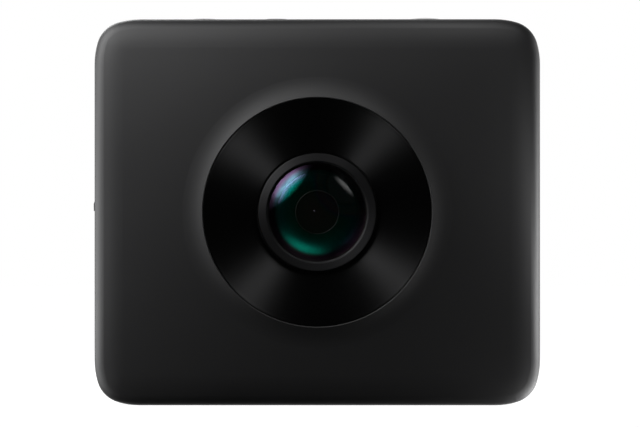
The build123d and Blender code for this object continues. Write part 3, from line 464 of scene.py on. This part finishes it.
board_mask = tracked("solder_mask", (0.006, 0.024, 0.014), (0.012, 0.05, 0.028), (0.55, 0.36, 0.12))
dress(board_mask, "main_board", "button_board")
dress(plated_sheet, "usb_socket", "card_socket", "processor_shield")
contact_gold = grained(
    "contact_gold", (0.75, 0.5, 0.16), 0.25, size=0.1 * mm, depth=0.0002 * mm, Metallic=1.0
)
usb_middle, usb_pitch, usb_half = 53.5, 0.65, 0.13
usb_run, usb_level = (-35.6, -31.3), (-0.39, -0.35)
usb_rows = [usb_middle + (i - 2) * usb_pitch for i in range(5)]
usb_strips = [
    ((usb_run[0], usb_level[0], z - usb_half), (usb_run[1], usb_level[1], z + usb_half)) for z in usb_rows
]
boxes("usb_contacts", usb_strips, contact_gold)
card_middle, card_pitch, card_half, card_strip, card_lap = 42.0, 1.1, 0.3, 0.05, 0.02
card_rows = [card_middle + (i - 3.5) * card_pitch for i in range(8)]
bow = [
    (-35.3, 0.8), (-34.8, 0.72), (-34.2, 0.64), (-33.6, 0.6), (-33.0, 0.64), (-32.4, 0.72), (-31.8, 0.8)
]
card_springs = [
    (
        (start[0], min(start[1], end[1]), z - card_half),
        (end[0] + card_lap, max(start[1], end[1]) + card_strip, z + card_half),
    )
    for z in card_rows
    for start, end in zip(bow, bow[1:])
]
boxes("card_contacts", card_springs, contact_gold)


# Battery: a foil pouch folded round the cell and stuck to the frame by an adhesive strip.
# Its flat lead is a ribbon of gold-coloured film.
pouch_foil = grained(
    "pouch_foil", (0.45, 0.45, 0.46), 0.35, size=1.5 * mm, depth=0.03 * mm, Metallic=0.8
)
dress(pouch_foil, "battery")
tape_white = grained("adhesive_strip", (0.5, 0.5, 0.47), 0.6)
dress(tape_white, "battery_tape")
dress(flex_film, "battery_lead")


# Speaker and antenna: a sealed box of black plastic behind the slot in the underside, with a fine woven
# steel mesh in the slot to keep dust out. The antenna is a strip of the flexes' film.
speaker_plastic = grained("speaker_plastic", (0.03, 0.03, 0.03), 0.5)
dress(speaker_plastic, "speaker")
dress(flex_film, "wifi_antenna")
mesh_steel = grained("dark_mesh_steel", (0.3, 0.3, 0.31), 0.4, size=0.1 * mm, Metallic=1.0)
slot_middle, slot_half, slot_radius = -21.95, 2.55, 0.43
wire, wire_pitch, mesh_level = 0.03, 0.15, 0.7


def woven():
    """Wires along and across the slot, cut to its round ends."""
    wires = []
    for i in range(-2, 3):
        y = wire_pitch * i
        reach = slot_half + sqrt(slot_radius**2 - y**2)
        low = (slot_middle - reach, y - wire, mesh_level)
        wires.append((low, (slot_middle + reach, y + wire, mesh_level + 2 * wire)))
    for i in range(-19, 20):
        x = wire_pitch * i
        half = sqrt(slot_radius**2 - max(abs(x) - slot_half, 0) ** 2)
        low = (slot_middle + x - wire, -half, mesh_level + wire)
        wires.append((low, (slot_middle + x + wire, half, mesh_level + 3 * wire)))
    return wires


boxes("speaker_mesh", woven(), mesh_steel)


# Fasteners: plated steel screws with a cross recess in each head, and the door's ground steel pin.
# Each screw clamps its part to a moulded post.
screw_steel = grained("plated_steel", (0.4, 0.4, 0.41), 0.3, size=0.2 * mm, depth=0.001 * mm, Metallic=1.0)
screws = ("front_shell_screws", "rear_shell_screws", "lens_carrier_screws", "board_screws", "tripod_screws")
dress(screw_steel, *screws, "door_hinge_pin")


def welded(mesh):
    """A mesh whose faces share their corners."""
    shape = bmesh.new()
    shape.from_mesh(mesh)
    bmesh.ops.remove_doubles(shape, verts=shape.verts, dist=1e-7)
    return shape


def screw_heads(blank):
    """Each screw in a mesh: the middle of its head's outer face, the way that face looks, and its radius."""
    shape = welded(blank.data)
    left = sorted(shape.verts, key=lambda corner: corner.index)
    heads = []
    while left:
        island, fresh = {left[0]}, [left[0]]
        while fresh:
            near = {edge.other_vert(fresh[0]) for edge in fresh[0].link_edges} - island
            island |= near
            fresh = fresh[1:] + list(near)
        left = [corner for corner in left if corner not in island]
        places = [Vector(corner.co) for corner in island]
        low = Vector([min(place[k] for place in places) for k in range(3)])
        high = Vector([max(place[k] for place in places) for k in range(3)])
        size, middle = high - low, (low + high) / 2
        along = max(range(3), key=lambda k: abs(size[k] - size[k - 1]) + abs(size[k] - size[k - 2]))
        axis = Vector([float(k == along) for k in range(3)])
        radius = size[along - 1] / 2
        wide = [place[along] for place in places if (place - middle).cross(axis).length > 0.95 * radius]
        way = 1 if sum(wide) / len(wide) > middle[along] else -1
        middle[along] = high[along] if way > 0 else low[along]
        heads.append((middle, way * axis, radius))
    shape.free()
    return heads


def cross_bit(heads):
    """The solids that a cross-shaped punch clears from screw heads."""
    depth, overrun, taper = 0.35 * mm, 0.1 * mm, 0.8
    shape = bmesh.new()
    for middle, way, radius in heads:
        near, far = 0.14 * radius, 0.62 * radius
        outline = []
        for quarter in range(4):
            turn = Matrix.Rotation(quarter * pi / 2, 3, "Z")
            outline += [turn @ Vector(place) for place in ((near, near, 0), (near, far, 0), (-near, far, 0))]
        face_way = way.to_track_quat("Z", "Y")
        top = [shape.verts.new(middle + face_way @ place + way * overrun) for place in outline]
        foot = [shape.verts.new(middle + face_way @ (place * taper) - way * depth) for place in outline]
        shape.faces.new(top)
        shape.faces.new(foot[::-1])
        for i in range(len(top)):
            j = (i + 1) % len(top)
            shape.faces.new((top[j], top[i], foot[i], foot[j]))
    bmesh.ops.recalc_face_normals(shape, faces=shape.faces)
    return as_object("cross_bit", shape)


def cut_from(name, blank, tool, material):
    """Puts a copy of a CAD node in its place, with the tool's solid cut away."""
    piece = as_object(name, welded(blank.data))
    cut = piece.modifiers.new("cut", "BOOLEAN")
    cut.operation, cut.solver, cut.object = "DIFFERENCE", "EXACT", tool
    bpy.context.view_layer.update()
    shape = bmesh.new()
    shape.from_mesh(piece.evaluated_get(bpy.context.evaluated_depsgraph_get()).to_mesh())
    piece.modifiers.clear()
    bpy.data.objects.remove(tool)
    soften(shape, 28)
    piece.data.clear_geometry()
    shape.to_mesh(piece.data)
    shape.free()
    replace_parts(housed(piece, material), blank.name)


for word in screws:
    cut_from(word + "_recessed", nodes[word], cross_bit(screw_heads(nodes[word])), screw_steel)


# Tripod socket: a nickel-plated brass insert, screwed into the foot from inside. Its bore has a
# countersunk mouth and a quarter inch thread of twenty turns to the inch, tapped short of its end.
socket_brass = grained(
    "nickel_plate", (0.5, 0.48, 0.45), 0.28, size=0.3 * mm, depth=0.001 * mm, Metallic=1.0
)
dress(socket_brass, "tripod_socket")
thread_pitch, thread_root, thread_crest, crest_share = 1.27, 3.17, 2.62, 1 / 6
thread_start, thread_end, run_out, mouth_radius = -0.4, 5.4, 0.4, 3.3


def thread_tap(sides=72, steps=12):
    """The solid that a tap clears from the bore. Its columns climb with the helix to keep crests sharp."""
    rows = int(steps * ((thread_end - thread_start) / thread_pitch + 2))
    shape = bmesh.new()
    columns = []
    for i in range(sides):
        turn = 2 * pi * i / sides
        column = []
        for row in range(rows + 1):
            climb = (row / steps + i / sides - 1) * thread_pitch
            z = min(max(thread_start + climb, thread_start), thread_end)
            wave = abs(2 * row / steps % 2 - 1)
            depth = max(wave - crest_share, 0) / (1 - crest_share) * min((thread_end - z) / run_out, 1)
            radius = max(thread_crest + (thread_root - thread_crest) * depth, mouth_radius - max(z, 0))
            column.append(shape.verts.new((radius * mm * cos(turn), radius * mm * sin(turn), z * mm)))
        columns.append(column)
    for i in range(sides):
        step = steps if i + 1 == sides else 0
        over = columns[(i + 1) % sides]
        for row in range(rows):
            near, far = min(row + step, rows), min(row + 1 + step, rows)
            if near < far:
                shape.faces.new((columns[i][row], over[near], over[far], columns[i][row + 1]))
    shape.faces.new([column[0] for column in columns][::-1])
    shape.faces.new([column[-1] for column in columns])
    bmesh.ops.remove_doubles(shape, verts=shape.verts, dist=1e-8)
    bmesh.ops.dissolve_degenerate(shape, edges=shape.edges, dist=1e-8)
    bmesh.ops.recalc_face_normals(shape, faces=shape.faces)
    return as_object("thread_tap", shape)


cut_from("tripod_socket_threaded", nodes["tripod_socket"], thread_tap(), socket_brass)


# Studio: a pale floor and a white ground, with soft boxes close round the casing and narrow strips at the
# front shell's edges. Dish, ring and glass each have their own lamps, which light nothing else, as flags
# and snoots would part them in a real studio.
def soft_light(name, place, size, power, reach, state="INCLUDE"):
    """A soft box turned to the lens, in mm, that fades to its edge. It lights the pieces named in its reach,
    or all but those."""
    lamp = bpy.data.lights.new(name, "AREA")
    lamp.shape = "RECTANGLE"
    lamp.size, lamp.size_y = (length * mm for length in size)
    lamp.energy = power
    lamp.use_nodes = True
    tree = lamp.node_tree
    spot = add_node(tree, "NewGeometry").outputs["Parametric"]
    off = add_node(tree, "VectorMath", {0: spot, 1: (0.5, 0.5, 0)}, operation="SUBTRACT").outputs[0]
    out = add_node(tree, "VectorMath", {0: off}, operation="LENGTH").outputs["Value"]
    tree.links.new(ramp(tree, out, 0.5, 0.15, eased=True), tree.nodes["Emission"].inputs["Strength"])
    holder = bpy.data.objects.new(name, lamp)
    holder.location = Vector(place) * mm
    holder.rotation_mode = "QUATERNION"
    from_lens = Vector(place) - Vector((0, 0, lens_height / mm))
    holder.rotation_quaternion = Vector((0, 0, 1)).rotation_difference(from_lens)
    holder.visible_camera = False
    bpy.context.scene.collection.objects.link(holder)
    group = bpy.data.collections.new(name + "_reach")
    for word in reach:
        group.objects.link(bpy.data.objects[word])
    for item in group.collection_objects:
        item.light_linking.link_state = state
    holder.light_linking.receiver_collection = group
    return holder


def round_lens(turn, tilt, away, side=-1):
    """A place round a lens: its turn from the right, its tilt from the lens's own direction, and how far."""
    flat, ahead = sin(radians(tilt)) * away, cos(radians(tilt)) * away
    return (flat * cos(radians(turn)), side * ahead, flat * sin(radians(turn)) + lens_height / mm)


lit_apart = [
    word + kind for word in lens_sides
    for kind in (
        "_dish_spun", "_lens_ring_turned", "_outer_element", "_bowl_lining", "_second_glass", "_second_ring"
    )
]
# Turn, tilt, distance and width of each, and its power in watts
for name, turn, tilt, away, width, power in (
    ("casing_upper_left", 114, 52, 75, 63, 0.049),
    ("casing_key", 141, 73, 75, 63, 0.102),
    ("casing_left", 173, 81, 75, 83, 0.1),
    ("casing_far_left", 192, 98, 90, 60, 0.05),
    ("casing_top", 74, 65, 75, 82, 0.045),
    ("casing_right", 14, 97, 87, 84, 0.05),
    ("casing_lower_right", 329, 86, 75, 74, 0.075),
    ("casing_corner", 322, 98, 90, 60, 0.09),
    ("casing_lower_left", 207, 80, 75, 64, 0.038),
    ("casing_far_right", 355, 92, 90, 50, 0.11),
):
    soft_light(name, round_lens(turn, tilt, away), (width, width), power, lit_apart, "EXCLUDE")
soft_light("casing_back", round_lens(120, 40, 300, 1), (220, 220), 1.6, lit_apart, "EXCLUDE")
for name, place, size, power in (
    ("strip_right", (43, -13.5, 33), (80, 6), 0.0075),
    ("strip_corner", (45, -15, -6), (20, 16), 0.006),
    ("strip_left", (-46, -15, 26), (60, 8), 0.003),
    ("strip_top", (24, -15, 76), (40, 8), 0.002),
):
    soft_light(name, place, size, power, ["front_shell"])
for word, side in lens_sides.items():
    for name, kind, turn, tilt, away, size, power in (
        ("dish_left", "_dish_spun", 140, 54, 220, (81, 100), 0.28),
        ("dish_right", "_dish_spun", 50, 57, 220, (79, 100), 0.28),
        ("ring_left", "_lens_ring_turned", 140, 54, 220, (190, 110), 0.5),
        ("ring_right", "_lens_ring_turned", 68, 58, 220, (90, 90), 0.09),
        ("glass_left", "_outer_element", 137, 94, 110, (150, 140), 0.5),
        ("glass_right", "_outer_element", 44, 87, 110, (90, 60), 0.022),
        ("bowl", "_bowl_lining", 67, 65, 110, (110, 50), 0.6),
        ("bowl_low", "_bowl_lining", 317, 76, 110, (60, 50), 0.5),
        ("glint", "_second_glass", 156, 8, 110, (6, 6), 0.007),
        ("second_ring", "_second_ring", 137, 36, 110, (40, 40), 0.1),
    ):
        place = round_lens(turn, tilt, away, side)
        lamp = soft_light(f"{word}_{name}", place, size, power, [word + kind])
        lamp.visible_transmission = False


def mirror_ray(tree, path):
    """Whether a ray was mirrored, or came through glass."""
    return calc(tree, "MAXIMUM", path.outputs["Is Glossy Ray"], path.outputs["Is Transmission Ray"])


world = bpy.data.worlds.new("studio")
world.use_nodes = True
bpy.context.scene.world = world
sky = world.node_tree
ground = sky.nodes["Background"]
fill_level, backdrop_low, backdrop_high = 0.015, 0.35, 0.9
path = add_node(sky, "LightPath")
parts = add_node(sky, "SeparateXYZ", {"Vector": add_node(sky, "TexCoord").outputs["Generated"]})
backdrop = ramp(sky, parts.outputs["Y"], backdrop_low, backdrop_high, eased=True)
seen = calc(sky, "MULTIPLY", mirror_ray(sky, path), backdrop)
white = calc(sky, "MAXIMUM", seen, path.outputs["Is Camera Ray"])
sky.links.new(ramp(sky, white, 0.0, 1.0, fill_level), ground.inputs["Strength"])
ground.inputs["Color"].default_value = (1, 1, 1, 1)

floor_reach, floor_gap = 1.5, 0.02 * mm
near_white, near_radius, far_radius, backdrop_depth = 0.9, 0.04, 0.16, 0.1
floor_mesh = bpy.data.meshes.new("floor")
floor_corners = [
    (x * floor_reach, y * floor_reach, 0) for x, y in ((-1, -1), (1, -1), (1, 1), (-1, 1))
]
floor_mesh.from_pydata(floor_corners, [], [(0, 1, 2, 3)])
floor = bpy.data.objects.new("floor", floor_mesh)
floor.location.z = -floor_gap
bpy.context.scene.collection.objects.link(floor)
floor_paint, tree, shader = start_material("pale_floor", Roughness=0.9, Specular_IOR_Level=0.0)
shader.inputs["Base Color"].default_value = (0.25, 0.25, 0.25, 1)
path = add_node(tree, "LightPath")
spot = add_node(tree, "TexCoord").outputs["Object"]
far = add_node(tree, "VectorMath", {0: spot}, operation="LENGTH").outputs["Value"]
white = ramp(tree, far, near_radius, far_radius, near_white, 1.0, eased=True)
behind = add_node(tree, "SeparateXYZ", {"Vector": spot}).outputs["Y"]
mirrored = mirror_ray(tree, path)
shown = calc(tree, "MULTIPLY", mirrored, ramp(tree, behind, 0.0, backdrop_depth, eased=True))
missed = calc(tree, "SUBTRACT", mirrored, shown)
seen = calc(tree, "MAXIMUM", shown, path.outputs["Is Camera Ray"])
glow = add_node(tree, "Emission", {"Color": (1, 1, 1, 1), "Strength": calc(tree, "MULTIPLY", seen, white)})
lit = add_node(tree, "AddShader", {0: shader.outputs[0], 1: glow.outputs[0]})
passed = calc(tree, "MAXIMUM", missed, path.outputs["Is Shadow Ray"])
open_to = calc(tree, "MAXIMUM", add_node(tree, "NewGeometry").outputs["Backfacing"], passed)
clear = add_node(tree, "BsdfTransparent")
whole = add_node(tree, "MixShader", {0: open_to, 1: lit.outputs[0], 2: clear.outputs[0]})
tree.links.new(whole.outputs[0], tree.nodes["Material Output"].inputs["Surface"])
floor_mesh.materials.append(floor_paint)


# Camera: straight in front of the lens and level with it, far off so that the view is flat. The casing's
# width and middle in the picture give its distance and its shift.
frame_width, frame_height = 640, 427
body_width, body_pixels = 78.0 * mm, 445.6
middle_pixel = (317.3, 212.2)
outline_level = 5.2 * mm
photo_camera = bpy.data.cameras.new("photo_camera")
photo_camera.lens, photo_camera.sensor_width = 300, 36
away = frame_width * body_width / body_pixels * photo_camera.lens / photo_camera.sensor_width
viewpoint = bpy.data.objects.new("photo_camera", photo_camera)
viewpoint.location = (0, -outline_level - away, lens_height)
viewpoint.rotation_euler = (radians(90), 0, 0)
photo_camera.shift_x = (frame_width / 2 - middle_pixel[0]) / frame_width
photo_camera.shift_y = (middle_pixel[1] - frame_height / 2) / frame_width
photo_camera.clip_start, photo_camera.clip_end = 0.01, 20
bpy.context.scene.collection.objects.link(viewpoint)
bpy.context.scene.camera = viewpoint
bpy.context.scene.view_settings.view_transform = "Standard"
